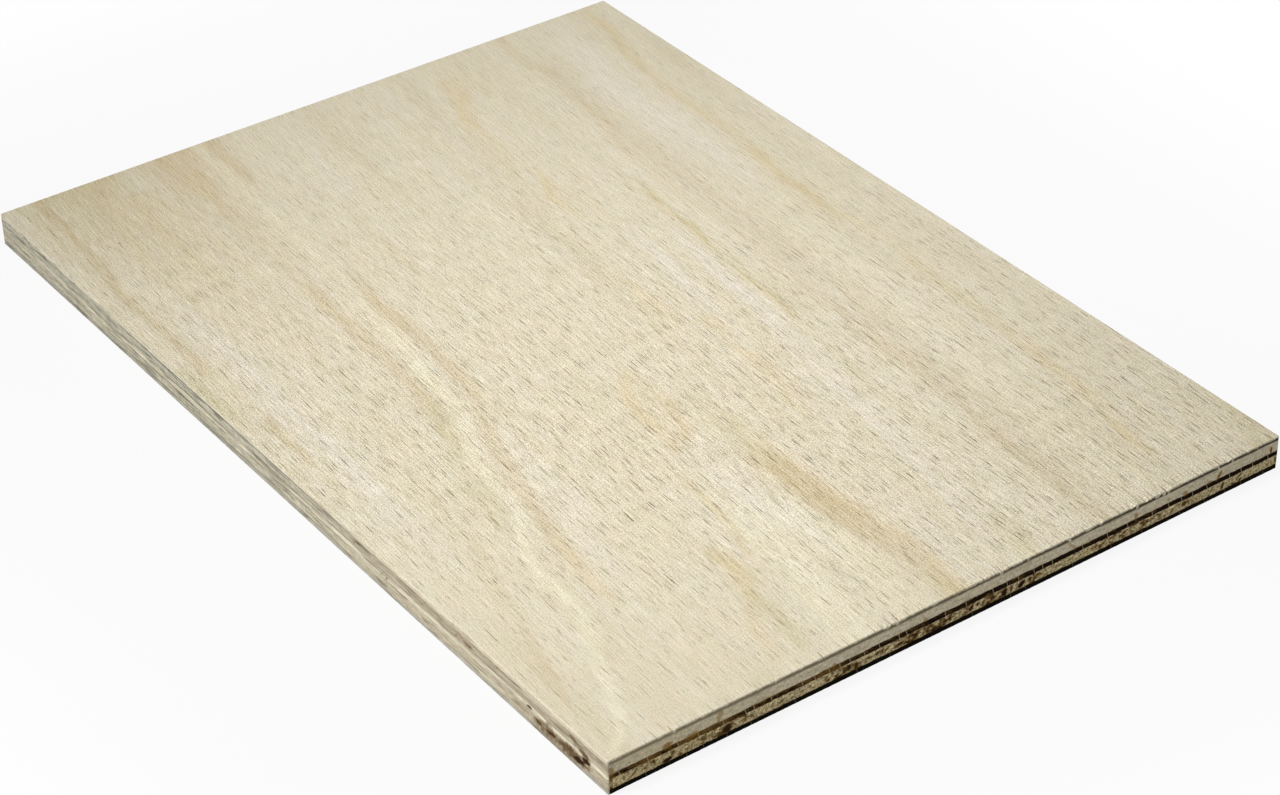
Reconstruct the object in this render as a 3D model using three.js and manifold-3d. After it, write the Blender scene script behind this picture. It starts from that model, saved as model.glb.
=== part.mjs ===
// Plywood sheet with a beech face: five rotary-cut plies, glued with their grain crossed in turn,
// trimmed together on the saw and sanded on both faces.
//
// Millimetres, Z up. X runs along the grain of the face, Y across it.
// The origin is the middle of the underside.

import * as THREE from "three";
import { mergeVertices } from "three/addons/utils/BufferGeometryUtils.js";
import Module from "manifold-3d";

// ---- Driving dimensions ------------------------------------------------------------------------

// The trimmed sheet, a standard small format. Its thickness is the sum of the plies.
const sheetLength = 297;
const sheetWidth = 210;

// The plies as sanded. The two crossbands are thick, and the outer veneers lose a little to the
// sander, more of it on the face than on the back.
const faceVeneerThickness = 1.25;
const upperCrossbandThickness = 2.9;
const coreVeneerThickness = 1.5;
const lowerCrossbandThickness = 2.8;
const backVeneerThickness = 1.55;

// The arrises are broken by one stroke of the sanding block, and the four corners by another.
const arrisFlat = 0.2;
const cornerRadius = 0.5;
const facetsPerCorner = 4;

// Where the saw leaves the face veneer across its grain, it tears short splinters out of the arris.
// A splinter is a few fibres side by side. Each leaves a wedge, deepest at the sawn edge, that runs
// out along the grain, and the grain crosses the sheet a few degrees off square.
const grainSlope = THREE.MathUtils.degToRad(3);
const fibreWidth = 0.6;
const splinters = [
  { at: -86.5, fibres: 2, reach: 1.6, depth: 0.3 },
  { at: -57, fibres: 1, reach: 2.4, depth: 0.25 },
  { at: -24, fibres: 4, reach: 1.8, depth: 0.5 },
  { at: -20.5, fibres: 2, reach: 3, depth: 0.4 },
  { at: 12, fibres: 4, reach: 1.4, depth: 0.45 },
  { at: 34.5, fibres: 2, reach: 2.2, depth: 0.4 },
  { at: 44, fibres: 2, reach: 1.5, depth: 0.3 },
  { at: 54.5, fibres: 3, reach: 2.6, depth: 0.45 },
  { at: 60, fibres: 5, reach: 1.7, depth: 0.55 },
  { at: 66.5, fibres: 3, reach: 3.4, depth: 0.5 },
  { at: 87, fibres: 3, reach: 2, depth: 0.4 },
];
// The fibres of one splinter break off at different lengths, in this order across it.
const brokenLengths = [0.7, 1, 0.55, 0.85, 0.4];

// ---- Worked out from them ----------------------------------------------------------------------

// The stack from the underside up. Odd plies run along the sheet and even ones across it.
const plies = [
  { name: "back_veneer", thickness: backVeneerThickness, color: "#9c8a6c" },
  { name: "lower_crossband", thickness: lowerCrossbandThickness, color: "#c3b48c" },
  { name: "core_veneer", thickness: coreVeneerThickness, color: "#6d4f35" },
  { name: "upper_crossband", thickness: upperCrossbandThickness, color: "#c9c0a6" },
  { name: "face_veneer", thickness: faceVeneerThickness, color: "#e3d8be" },
];
const sheetThickness = plies.reduce((sum, ply) => sum + ply.thickness, 0);

// ---- Solids ------------------------------------------------------------------------------------

const wasm = await Module();
wasm.setup();

/** A three.js geometry as a solid that can be cut. */
function solidFrom(geometry) {
  const bare = geometry.index ? geometry.toNonIndexed() : geometry.clone();
  bare.deleteAttribute("normal");
  bare.deleteAttribute("uv");
  const merged = mergeVertices(bare);
  return new wasm.Manifold(
    new wasm.Mesh({
      numProp: 3,
      vertProperties: Float32Array.from(merged.attributes.position.array),
      triVerts: Uint32Array.from(merged.index.array),
    }),
  );
}

/** A cut solid as a three.js geometry, with flat faces. */
function geometryFrom(solid) {
  const { vertProperties, triVerts, numProp } = solid.getMesh();
  const position = new Float32Array((vertProperties.length / numProp) * 3);
  for (let vertex = 0; vertex * numProp < vertProperties.length; vertex++) {
    const start = vertex * numProp;
    position.set(vertProperties.subarray(start, start + 3), vertex * 3);
  }
  const indexed = new THREE.BufferGeometry();
  indexed.setAttribute("position", new THREE.BufferAttribute(position, 3));
  indexed.setIndex(new THREE.BufferAttribute(Uint32Array.from(triVerts), 1));
  const faceted = indexed.toNonIndexed();
  faceted.computeVertexNormals();
  return faceted;
}

/** The sheet's outline, with its four corners eased. */
function sheetOutline() {
  const x = sheetLength / 2 - cornerRadius;
  const y = sheetWidth / 2 - cornerRadius;
  const quarter = Math.PI / 2;
  const outline = new THREE.Shape();
  outline.absarc(x, y, cornerRadius, 0, quarter);
  outline.absarc(-x, y, cornerRadius, quarter, 2 * quarter);
  outline.absarc(-x, -y, cornerRadius, 2 * quarter, 3 * quarter);
  outline.absarc(x, -y, cornerRadius, 3 * quarter, 4 * quarter);
  return outline;
}

/** The whole trimmed sheet: its outline raised to full thickness, with both arrises broken. */
function trimmedSheet() {
  const sheet = new THREE.ExtrudeGeometry(sheetOutline(), {
    depth: sheetThickness - 2 * arrisFlat,
    curveSegments: facetsPerCorner / 2, // three.js gives an arc two facets for each
    bevelThickness: arrisFlat,
    bevelSize: arrisFlat,
    bevelOffset: -arrisFlat,
    bevelSegments: 1,
  });
  sheet.translate(0, 0, arrisFlat);
  return solidFrom(sheet);
}

/** The layer of space between two glue lines, wider than the sheet. */
function layerBetween(bottom, top) {
  const layer = new THREE.BoxGeometry(2 * sheetLength, 2 * sheetWidth, top - bottom);
  layer.translate(0, 0, (bottom + top) / 2);
  return solidFrom(layer);
}

/** The wedge that one torn fibre leaves in the arris at the sheet's +X end. */
function fibreHole(at, reach, depth) {
  // In the plane of the cut, measured from the arris: the torn floor falls from nothing, at its
  // far end in the face, to the full depth at the edge, and goes on past both to cut clean.
  const overrun = 1;
  const slope = depth / reach;
  const profile = new THREE.Shape();
  profile.moveTo(-reach - overrun, slope * overrun);
  profile.lineTo(overrun, -depth - slope * overrun);
  profile.lineTo(overrun, slope * overrun);
  const wedge = new THREE.ExtrudeGeometry(profile, { depth: fibreWidth, bevelEnabled: false });
  wedge.translate(0, 0, -fibreWidth / 2);
  wedge.rotateX(Math.PI / 2);
  wedge.rotateZ(-grainSlope);
  wedge.translate(sheetLength / 2, at, sheetThickness);
  return solidFrom(wedge);
}

/** The holes of a splinter's fibres, side by side about the middle of it. */
function splinterHoles({ at, fibres, reach, depth }) {
  const holes = [];
  for (let fibre = 0; fibre < fibres; fibre++) {
    const broken = brokenLengths[fibre % brokenLengths.length];
    const across = (fibre - (fibres - 1) / 2) * fibreWidth;
    holes.push(fibreHole(at + across, reach * broken, depth * broken));
  }
  return holes;
}

// ---- The sheet ---------------------------------------------------------------------------------

const plywoodSheet = new THREE.Group();

const holes = splinters.flatMap(splinterHoles);
const sheet = holes.reduce((solid, hole) => solid.subtract(hole), trimmedSheet());

let glueLine = 0;
for (const { name, thickness, color } of plies) {
  const ply = sheet.intersect(layerBetween(glueLine, glueLine + thickness));
  const material = new THREE.MeshStandardMaterial({ color, roughness: 0.75, metalness: 0 });
  const mesh = new THREE.Mesh(geometryFrom(ply), material);
  mesh.name = name;
  plywoodSheet.add(mesh);
  glueLine += thickness;
}

export default plywoodSheet;
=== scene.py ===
"""A sheet of beech-faced plywood lying flat, with its five plies showing on the sawn edges.

Meshes are made in millimetres and turned to metres as they are stored. The finishes work in
millimetres too. X runs along the grain of the face, Y across it, Z up from the underside.
"""

import math

import bpy
import numpy as np
from mathutils import Matrix, Vector, noise
from mathutils.geometry import delaunay_2d_cdt


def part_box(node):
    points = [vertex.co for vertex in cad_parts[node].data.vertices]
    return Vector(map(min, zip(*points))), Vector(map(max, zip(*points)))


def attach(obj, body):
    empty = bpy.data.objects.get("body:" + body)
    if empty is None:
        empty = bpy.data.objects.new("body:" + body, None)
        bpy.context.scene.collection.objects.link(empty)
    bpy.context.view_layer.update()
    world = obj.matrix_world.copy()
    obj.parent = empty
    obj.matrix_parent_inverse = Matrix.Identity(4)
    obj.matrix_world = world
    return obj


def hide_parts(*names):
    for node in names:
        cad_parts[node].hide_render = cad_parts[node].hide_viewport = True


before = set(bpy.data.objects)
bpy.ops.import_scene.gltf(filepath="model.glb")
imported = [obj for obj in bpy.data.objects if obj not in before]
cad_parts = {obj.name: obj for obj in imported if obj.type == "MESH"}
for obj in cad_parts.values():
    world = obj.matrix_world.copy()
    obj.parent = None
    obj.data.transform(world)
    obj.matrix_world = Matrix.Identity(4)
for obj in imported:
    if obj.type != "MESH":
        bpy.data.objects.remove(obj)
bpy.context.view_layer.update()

MM = 0.001

# ---- Sizes taken from the frame ----

PLIES = ["back_veneer", "lower_crossband", "core_veneer", "upper_crossband", "face_veneer"]
BACK, LOWER, CORE, UPPER, FACE = range(5)

half_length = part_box("face_veneer")[1].x / MM
half_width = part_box("face_veneer")[1].y / MM
glue_lines = [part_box(ply)[0].z / MM for ply in PLIES] + [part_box("face_veneer")[1].z / MM]
underside, top = glue_lines[0], glue_lines[-1]
core_middle = (glue_lines[2] + glue_lines[3]) / 2

# ---- The trimmed edge ----

CORNER_RADIUS = 0.5
CORNER_STEPS = 4
ARRIS = 0.2

# Four sides in turn, anticlockwise from above, each with the pitch of its stations. The ends are
# where the saw crossed the grain of the face. The two sides at the front are cut up finest.
RIGHT_END, BACK_EDGE, LEFT_END, FRONT_EDGE = range(4)
STATION_PITCH = {RIGHT_END: 0.22, BACK_EDGE: 0.6, LEFT_END: 0.5, FRONT_EDGE: 0.3}
ROW_PITCH = 0.22

# Splinters torn out of the face at the +X end: where, how many fibres, how far in and how deep.
GRAIN_SLOPE = math.radians(3)
FIBRE_WIDTH = 0.6
SPLINTERS = [
    (-86.5, 2, 1.6, 0.3), (-57, 1, 2.4, 0.25), (-24, 4, 1.8, 0.5), (-20.5, 2, 3, 0.4), (12, 4, 1.4, 0.45),
    (34.5, 2, 2.2, 0.4), (44, 2, 1.5, 0.3), (54.5, 3, 2.6, 0.45), (60, 5, 1.7, 0.55), (66.5, 3, 3.4, 0.5),
    (87, 3, 2, 0.4),
]
BROKEN_LENGTHS = [0.7, 1, 0.55, 0.85, 0.4]

# Stains on the two edges that carry most of them: place along the edge, height, half length,
# half height, how far the top leans along the edge, and strength from 0 to 1.
STAINS = {
    RIGHT_END: [
        # The upper crossband: brown marks rising from the core.
        (-104, 6.7, 0.9, 1.4, -0.1, 0.5), (-88.3, 6.2, 1.6, 1.1, 0.3, 0.6), (-81.2, 5.9, 3, 0.8, 0, 0.5),
        (-73.3, 7.3, 1, 2, 0.2, 0.4), (-60.5, 6, 1.6, 0.7, 0, 0.3), (-39.6, 6, 0.7, 0.9, 0, 0.5),
        (-11.8, 6.3, 0.8, 1, -0.3, 0.5), (34.8, 7.1, 0.6, 1.7, -0.8, 0.4), (35.8, 6, 0.6, 0.6, 0, 0.4),
        (56, 6.8, 0.7, 1.2, -0.2, 0.5), (66.8, 6.9, 0.5, 1.1, -0.4, 0.35), (72.6, 6.3, 0.9, 0.9, -0.2, 0.5),
        (81, 6, 0.9, 0.4, 0, 0.5), (84.2, 6.7, 0.8, 1.4, 0.5, 0.7), (102.3, 6.8, 0.5, 1.2, 0, 0.8),
        (102.3, 7.6, 0.8, 0.2, 0, 0.5),
        # The lower crossband, low along it and in places all the way up.
        (-97.7, 3, 0.6, 1, 1.1, 0.6), (-88.3, 2.1, 1.6, 0.8, 0.5, 1), (-86.8, 3.4, 0.6, 1, 0.3, 0.6),
        (-78, 3.4, 0.8, 0.4, 0, 0.45), (-75.6, 3.1, 0.5, 0.5, 0.3, 0.5), (-71.2, 2.7, 1.7, 1.3, 0.2, 0.85),
        (-66, 3.1, 0.5, 0.5, 0.2, 0.4), (-64, 2.9, 0.6, 0.6, 0, 0.55), (-55.2, 2.8, 1.2, 0.35, 0.1, 0.6),
        (-49.5, 3, 1.3, 0.3, 0.6, 0.45), (-42, 3.3, 0.5, 0.7, 0.2, 0.5), (-36.4, 2.9, 0.8, 1.1, 0.2, 0.7),
        (-33, 2.6, 0.7, 1.2, 0.1, 0.75), (-26.6, 3.2, 0.6, 0.8, 0.2, 0.75), (-25, 3.7, 0.9, 0.5, 0, 0.5),
        (-19.6, 2.9, 1.8, 0.35, 0.3, 0.9), (-16.5, 3.2, 0.4, 0.8, 0.2, 0.6), (-12, 3.6, 0.5, 0.7, 0.2, 0.6),
        (-9.8, 3.3, 1, 0.5, 0.2, 0.6), (-7, 3.3, 0.5, 0.6, 0, 0.6), (-4.2, 3, 0.5, 1, -0.2, 0.8),
        (-1, 3.4, 0.8, 0.35, 0.4, 0.55), (2.6, 3.1, 0.8, 1, 0.3, 0.8), (4.5, 3.3, 0.6, 0.7, 0, 0.75),
        (6.4, 3, 0.5, 0.8, 0.2, 0.6), (9.4, 3, 1, 0.9, 0.2, 0.75), (13.1, 2.9, 1.1, 1.4, 0.1, 1),
        (15.4, 3, 0.5, 0.9, 0.2, 0.7), (18.7, 2.9, 1.2, 1.1, 0.4, 0.95), (21.2, 3, 0.8, 1, 0, 0.7),
        (22.6, 2.4, 0.7, 0.6, 0, 0.5), (31, 3.1, 1.4, 0.4, 0.2, 0.4), (34.6, 3.2, 0.8, 0.4, 0, 0.4),
        (42.6, 3.2, 0.8, 0.7, 0.2, 0.55), (45.2, 3, 0.4, 0.5, 0, 0.4), (48.6, 3, 0.4, 0.6, 0, 0.35),
        (52, 2.3, 0.9, 0.3, 0.5, 0.75), (58.8, 2.6, 0.8, 0.5, 0.3, 0.6), (64, 3, 0.8, 0.4, 1, 0.65),
        (65.8, 2.3, 0.5, 0.4, 0, 0.6), (68, 2.5, 0.4, 0.4, 0, 0.6), (72.3, 3.3, 0.7, 0.9, 0.2, 0.7),
        (78, 3, 0.5, 0.6, 0.2, 0.4), (82, 3.2, 0.5, 0.7, 0.2, 0.45), (85.7, 2.9, 0.6, 1.3, 0.2, 0.95),
        (91.5, 3.4, 0.45, 1.1, 1.3, 0.9), (101.5, 2.7, 0.7, 0.4, 0.3, 0.5), (104.2, 3.1, 0.6, 1.2, 0, 0.6),
    ],
    FRONT_EDGE: [
        # A knot's stain near the +X corner: brown all along the lower crossband, then its hearts.
        (113, 2.9, 4, 1.4, 0, 0.2), (125, 2.9, 7.5, 2, 0.2, 0.52), (134, 2.9, 8, 2.1, 0.2, 0.6),
        (121, 3.1, 1.8, 0.9, 0.4, 0.66), (125.8, 2.9, 2.6, 0.9, 0.3, 0.72), (130.2, 2.9, 2, 0.8, 0.3, 0.64),
        (133.4, 3.6, 1.8, 0.8, 0.3, 0.64), (137, 2.6, 2.4, 1.2, 0.5, 0.95), (140, 4.2, 1.9, 1.1, 0.3, 0.88),
        (139.4, 5.8, 2, 1.3, -0.8, 0.62), (137, 6.7, 2.5, 1, -0.8, 0.42), (135.2, 7.5, 2, 0.8, -0.8, 0.5),
        (131, 7.2, 3.4, 0.8, -0.4, 0.2), (129.5, 1.1, 11.5, 1.6, 0, 0.3), (117.1, 5.1, 1.3, 0.6, 0.8, 0.66),
        (125, 5.2, 1.7, 0.6, 0.6, 0.42),
        # Smaller marks along the edge.
        (91.5, 7.1, 2.2, 0.6, 0.4, 0.5), (86.3, 6.8, 0.4, 0.7, 0.3, 0.4), (103.8, 8.4, 0.6, 0.4, 0.3, 0.3),
        (66.5, 6.7, 1.2, 0.4, 0.3, 0.3), (55.3, 4.9, 0.45, 0.4, 0.3, 0.65), (53, 4.9, 0.6, 0.3, 0.2, 0.35),
        (42.6, 7.9, 1.4, 0.4, 0.5, 0.6), (40.6, 7, 0.4, 0.7, 0.6, 0.35), (-27, 8, 0.9, 0.3, 0.4, 0.3),
        (-104.6, 8.8, 0.6, 0.5, 0.3, 0.4), (-122.2, 8.7, 0.8, 0.5, 0.4, 0.35),
        (-131.5, 8.8, 0.9, 0.4, 0.3, 0.25),
    ],
}

# Chips on the +X end, down which the light face shows: laid out like the stains.
CHIPS = {
    RIGHT_END: [
        (-86.4, 9.5, 0.9, 0.4, 0, 1), (-57, 9.5, 0.4, 0.4, 0.1, 0.8), (-24, 9.5, 1.2, 0.35, 0, 0.9),
        (-20.4, 9.4, 0.7, 0.5, 0.2, 1), (-9.2, 9.3, 0.25, 0.6, 0.3, 0.6), (-2, 9.3, 0.2, 0.7, 0.2, 0.5),
        (11.9, 9.3, 0.45, 0.75, 0.1, 1), (20.5, 9.5, 0.4, 0.4, 0.2, 0.7), (33.8, 9.3, 0.5, 0.7, -0.4, 1),
        (34.3, 8.6, 0.25, 0.7, -0.5, 0.6), (40, 9.6, 1.4, 0.3, 0, 0.8), (44.2, 9.5, 0.5, 0.4, 0.1, 0.8),
        (56.2, 9.4, 0.5, 0.6, 0.2, 1), (63, 9.5, 0.9, 0.45, 0.3, 1), (65.3, 9.4, 0.6, 0.5, 0.5, 1),
        (66.8, 9.3, 0.4, 0.6, 0.3, 0.8), (83.8, 9.3, 0.35, 0.65, -0.2, 0.9),
        (88.7, 9.3, 0.4, 0.7, 0.1, 0.9), (97.3, 9.4, 0.3, 0.5, 0.1, 0.6),
    ],
}


def rough(x, y, z, size, seed=0.0):
    """Smooth noise from -1 to 1 at each point, with bumps of about this size."""
    spots = np.broadcast_arrays(x, y, z)
    flat = [np.asarray(axis, float).ravel() / size + seed for axis in spots]
    values = [noise.noise(Vector(spot)) for spot in zip(*flat)]
    return np.array(values).reshape(spots[0].shape)


class Rim:
    """Stations round the sheet's outline: place, outward direction, and which side each is on."""

    def __init__(self):
        places, outward, sides = [], [], []
        for side in range(4):
            turn = side * math.pi / 2
            out = np.array([math.cos(turn), math.sin(turn)])
            ahead = np.array([-out[1], out[0]])
            reach, run = (half_length, half_width) if side % 2 == 0 else (half_width, half_length)
            straight = run - CORNER_RADIUS
            count = round(2 * straight / STATION_PITCH[side])
            for step in np.linspace(-straight, straight, count + 1)[:-1]:
                places.append(out * reach + ahead * step)
                outward.append(out)
                sides.append(side)
            centre = out * (reach - CORNER_RADIUS) + ahead * straight
            for step in range(CORNER_STEPS):
                angle = turn + step / CORNER_STEPS * math.pi / 2
                spoke = np.array([math.cos(angle), math.sin(angle)])
                places.append(centre + spoke * CORNER_RADIUS)
                outward.append(spoke)
                sides.append(side)
        self.place = np.array(places)
        self.outward = np.array(outward)
        self.side = np.array(sides)
        self.is_end = self.side % 2 == 0

    def inset(self, depth):
        """The stations moved straight in from the edge, each by its own depth."""
        return self.place - self.outward * np.reshape(depth, (-1, 1))

    def ring(self, depth):
        """A smaller outline inside this one, with the same corners, so that it never folds."""
        corner = np.array([half_length, half_width]) - CORNER_RADIUS
        centre = np.clip(self.place, -corner, corner)
        return centre * (corner - depth) / corner + (self.place - centre)


def torn_depth(x, y):
    """How deep the face is torn at these points near the +X end."""
    depth = np.zeros(np.shape(x))
    from_edge = half_length - x
    across = y + (x - half_length) * math.tan(GRAIN_SLOPE)
    for at, fibres, reach, deepest in SPLINTERS:
        for fibre in range(fibres):
            broken = BROKEN_LENGTHS[fibre % len(BROKEN_LENGTHS)]
            middle = at + (fibre - (fibres - 1) / 2) * FIBRE_WIDTH
            here = np.abs(across - middle) <= FIBRE_WIDTH / 2
            fall = deepest * broken * (1 - from_edge / (reach * broken))
            depth = np.maximum(depth, np.where(here, fall, 0))
    return depth


def glue_height(rim, line):
    """The height of a glue line at each station. The inner ones wander a little, as pressed."""
    level = np.full(len(rim.place), glue_lines[line])
    if 0 < line < len(glue_lines) - 1:
        x, y = rim.place.T
        ragged = np.where(rim.is_end, 0.16, 0.07) * (1 if line in (CORE, UPPER) else 0.5)
        waves = [(38, 0.16, 7.3), (6, 0.05, 3.1), (2.4, ragged, 5.1), (0.8, ragged / 2, 9.7)]
        for size, height, seed in waves:
            level += height * rough(x, y, 0, size, line * seed)
    return level


def marked(rim, height, table):
    """How strongly the marks of a table show at each station at this height, from 0 to 1."""
    strength = np.zeros(len(rim.place))
    x, y = rim.place.T
    ragged = 0.5 * rough(x, y, height, 1.1, 4.4) + 0.3 * rough(x, y, height, 0.5, 8.8)
    for side, marks in table.items():
        along = y if side == RIGHT_END else x
        for at, level, half_run, half_height, lean, depth in marks:
            up = (height - level) / half_height
            off = (along - at - lean * up * half_height) / half_run
            body = np.clip(1.2 * (1.15 - off**2 - up**2 + ragged), 0, 1)
            strength = np.maximum(strength, np.where(rim.side == side, body * depth, 0))
    return strength


# ---- Ply meshes ----

# How far inside the outline the rings of an outer flat lie, and those of a glued one.
OUTER_RINGS, GLUED_RINGS = [0.4, 0.75, 1.1, 1.5, 2, 2.6, 3.3, 4], [1.5, 4]
# The points that fill a flat inside its rings: how far in they start, and their pitch.
GRADED_FILL, MIDDLE_FILL = [(6, 1.5), (10, 3.5)], (17, 8)
SHARP_EDGE = math.radians(35)

# What the saw leaves, in depth: the fuzz of end grain, the streaks of long grain, and its tooth
# marks, with the distance from one mark to the next.
FUZZ, STREAKS, TOOTH_MARKS, TOOTH_PITCH = 0.035, 0.022, 0.012, 2.4
# The rim of the face at the +X end: how ragged it is, and how far down it starts.
RIM_RAGGED, RIM_DROP = 0.35, 0.1


class Sheet:
    """Vertices and faces of one ply as they are added, in millimetres.

    Each vertex also carries how far it is on the sawn edge rather than on the flat ("cut"), on
    an end rather than a side ("end"), how high between its glue lines ("level"), and how far
    stained ("stain").
    """

    PAINTS = ["cut", "end", "level", "stain"]

    def __init__(self):
        self.places = []
        self.paints = {paint: [] for paint in self.PAINTS}
        self.faces = []
        self.count = 0

    def row(self, places, **paints):
        """Adds a row of vertices and returns their numbers."""
        self.places.append(places)
        for paint, values in self.paints.items():
            values.append(np.broadcast_to(paints.get(paint, 0.0), len(places)))
        numbers = np.arange(self.count, self.count + len(places))
        self.count += len(places)
        return numbers

    def join(self, lower, upper):
        """Quads between two rows of as many vertices, facing out where the rows climb."""
        for here, ahead in zip(range(len(lower)), [*range(1, len(lower)), 0]):
            self.faces.append((lower[here], lower[ahead], upper[ahead], upper[here]))

    def fill(self, ring, level, upward):
        """Triangles across the flat inside of a row, coarser towards the middle."""
        rim = np.concatenate(self.places)[ring][:, :2]
        inner = [graded_points(depth, pitch) for depth, pitch in GRADED_FILL]
        spots = np.concatenate([rim, *inner, middle_points(*MIDDLE_FILL)])
        edges = [(i, (i + 1) % len(rim)) for i in range(len(rim))]
        found = delaunay_2d_cdt([Vector(spot) for spot in spots], edges, [], 1, 1e-5)
        vertices, triangles, sources = found[0], found[2], found[3]
        numbers = {}
        added = []
        for vertex, origin in enumerate(sources):
            if origin and origin[0] < len(rim):
                numbers[vertex] = ring[origin[0]]
            else:
                numbers[vertex] = self.count + len(added)
                added.append((vertices[vertex].x, vertices[vertex].y, level))
        self.row(np.array(added))
        for triangle in triangles:
            face = [numbers[vertex] for vertex in triangle]
            self.faces.append(face if upward else face[::-1])

    def finish(self, name):
        """The stored mesh object, in metres."""
        mesh = bpy.data.meshes.new(name)
        places = np.concatenate(self.places) * MM
        mesh.from_pydata(places.tolist(), [], [tuple(map(int, face)) for face in self.faces])
        for paint, values in self.paints.items():
            stored = mesh.attributes.new(paint, "FLOAT", "POINT")
            stored.data.foreach_set("value", np.concatenate(values))
        mesh.validate()
        mesh.polygons.foreach_set("use_smooth", [True] * len(mesh.polygons))
        mesh.set_sharp_from_angle(angle=SHARP_EDGE)
        made = bpy.data.objects.new(name, mesh)
        bpy.context.collection.objects.link(made)
        return made


def graded_points(depth, pitch):
    """Points along a rectangle this far inside the outline."""
    x, y = half_length - depth, half_width - depth
    along = np.linspace(-x, x, round(2 * x / pitch) + 1)
    across = np.linspace(-y, y, round(2 * y / pitch) + 1)[1:-1]
    sides = [np.column_stack([along, np.full_like(along, side)]) for side in (-y, y)]
    ends = [np.column_stack([np.full_like(across, end), across]) for end in (-x, x)]
    return np.concatenate([*sides, *ends])


def middle_points(depth, pitch):
    """Points in staggered rows over the middle of the sheet."""
    x, y = half_length - depth, half_width - depth
    rows = []
    for number, level in enumerate(np.linspace(-y, y, round(2 * y / pitch) + 1)):
        shift = pitch / 2 * (number % 2)
        along = np.arange(-x + shift, x, pitch)
        rows.append(np.column_stack([along, np.full_like(along, level)]))
    return np.concatenate(rows)


def sawn_depth(rim, ply, height):
    """How far the saw left each station of a ply inside the outline, at this height."""
    x, y = rim.place.T
    end_grain = rim.is_end != (ply in (LOWER, UPPER))
    fuzz = FUZZ * (1 + rough(x, y, height, 0.55, ply))
    streak = STREAKS * (1 + rough(x / 9, y / 9, height, 0.3, ply + 5))
    marks = TOOTH_MARKS * (1 + np.sin((x + y + 0.12 * height) * 2 * math.pi / TOOTH_PITCH))
    return np.where(end_grain, fuzz, streak) + marks


def worn(rim, height):
    """How far the light face wraps down over the arris at each station, from 0 to 1."""
    x, y = rim.place.T
    reach = np.where(rim.side == RIGHT_END, 0.42, 0.3)
    limit = top - reach + 0.24 * rough(x, y, 0, 0.9, 1.7) + 0.16 * rough(x, y, 0, 5, 6.2)
    return np.maximum(np.clip((height - limit) / 0.12, 0, 1), marked(rim, height, CHIPS))


def ply_mesh(ply):
    """One ply, from its lower glue line to its upper one."""
    rim = Rim()
    x, y = rim.place.T
    sheet = Sheet()
    low, high = glue_height(rim, ply), glue_height(rim, ply + 1)
    if ply == FACE:
        ragged = RIM_RAGGED * np.clip(rough(x, y, 0, 0.7) + 0.5 * rough(x, y, 0, 5, 2.6), 0, 1)
        ragged = ragged * (rim.side == RIGHT_END)
        high = top - np.maximum(ARRIS, torn_depth(x, y) + ragged + RIM_DROP)
    if ply == BACK:
        low = low + ARRIS
    rows = max(2, round(float(np.mean(high - low)) / ROW_PITCH))
    wall, depths = [], []
    for share in np.linspace(0, 1, rows + 1):
        height = low + (high - low) * share
        depths.append(sawn_depth(rim, ply, height))
        places = np.column_stack([rim.inset(depths[-1]), height])
        stain = marked(rim, height, STAINS)
        cut = 1 - worn(rim, height) if ply == FACE else 1.0
        wall.append(sheet.row(places, cut=cut, end=rim.is_end, level=share, stain=stain))
    for lower, upper in zip(wall, wall[1:]):
        sheet.join(lower, upper)

    def cap(last, sawn, upward):
        """Rings from a wall's end over the arris to the flat, then the fill."""
        level = glue_lines[ply + 1] if upward else glue_lines[ply]
        outer = (ply == FACE and upward) or (ply == BACK and not upward)
        # Each ring: its places, how far from the flat it lies, and how far on the sawn edge it is.
        rings = [(rim.ring(depth), 0.0, 0.0) for depth in (OUTER_RINGS if outer else GLUED_RINGS)]
        if outer:
            eased = [(rim.inset(sawn + share * ARRIS), share) for share in (0.4, 1)]
            rings = [(places, (1 - share) ** 2 * ARRIS, 1 - share) for places, share in eased] + rings
        for places, ease, cut in rings:
            height = np.full(len(x), level - ease if upward else level + ease)
            if ply == FACE and upward:
                height = np.minimum(height, top - torn_depth(*places.T))
            ring = sheet.row(np.column_stack([places, height]), cut=cut, end=rim.is_end * cut)
            sheet.join(*((last, ring) if upward else (ring, last)))
            last = ring
        sheet.fill(last, level, upward)

    cap(wall[-1], depths[-1], True)
    cap(wall[0], depths[0], False)
    return sheet.finish(PLIES[ply] + "_sawn")


# ---- Finishes ----


def display(red, green, blue):
    """A colour as it shows on a screen, out of 255, as the light it stands for."""
    shares = [value / 255 for value in (red, green, blue)]
    return [s / 12.92 if s <= 0.04045 else ((s + 0.055) / 1.055) ** 2.4 for s in shares]


def arithmetic(operation, swapped=False):
    """A method of a wire that adds a Math node, its operands in the other order if swapped."""

    def method(wire, *other):
        return wire.finish.math(operation, *((*other, wire) if swapped else (wire, *other)))

    return method


class Wire:
    """An output of a finish's node tree. Arithmetic on wires adds Math nodes."""

    __add__ = __radd__ = arithmetic("ADD")
    __mul__ = __rmul__ = arithmetic("MULTIPLY")
    __sub__, __rsub__ = arithmetic("SUBTRACT"), arithmetic("SUBTRACT", swapped=True)
    __truediv__, __pow__ = arithmetic("DIVIDE"), arithmetic("POWER")
    __abs__ = arithmetic("ABSOLUTE")

    def __init__(self, finish, socket):
        self.finish = finish
        self.socket = socket

    def also(self, output):
        """Another output of the node that this wire leaves."""
        return Wire(self.finish, self.socket.node.outputs[output])


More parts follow.
